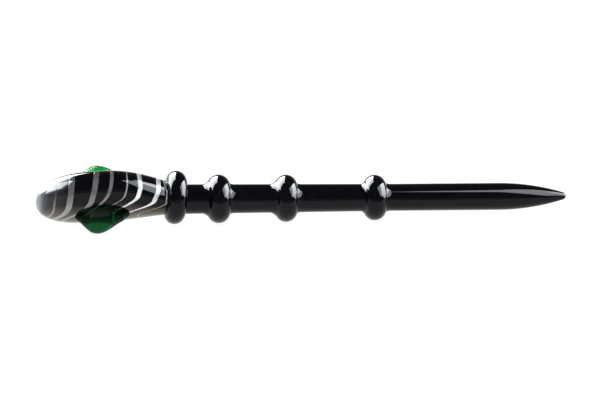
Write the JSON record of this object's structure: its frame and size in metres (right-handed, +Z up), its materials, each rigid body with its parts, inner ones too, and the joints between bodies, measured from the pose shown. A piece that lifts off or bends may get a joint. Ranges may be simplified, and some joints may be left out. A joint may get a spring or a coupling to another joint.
{
  "type": "glass dip pen",
  "caption": "One-piece black glass pen: round pointed rod with fused collars and an egg-shaped head with combed white trails and green dots.",
  "frame": {"origin": "middle of the pen's length and width, on the surface it rests on", "axes": "+X along the pen from the head towards the point, +Z up, -Y towards the side of the lower green dot; the rod itself slopes down by 0.56 degrees towards the point"},
  "size_m": [0.1578, 0.0212, 0.0177],
  "materials": {
    "black_glass": "polished",
    "white_glass": "polished",
    "green_glass": "polished"
  },
  "bodies": {
    "root": {"shaft": "black_glass", "neck_collar": "black_glass", "upper_collar": "black_glass", "middle_collar": "black_glass", "lower_collar": "black_glass", "head_core": "black_glass", "white_trail_1": "white_glass", "white_trail_2": "white_glass", "white_trail_3": "white_glass", "white_trail_4": "white_glass", "white_trail_5": "white_glass", "white_trail_6": "white_glass", "white_trail_7": "white_glass", "white_trail_8": "white_glass", "front_green_dot": "green_glass", "back_green_dot": "green_glass"}
  },
  "joints": []
}
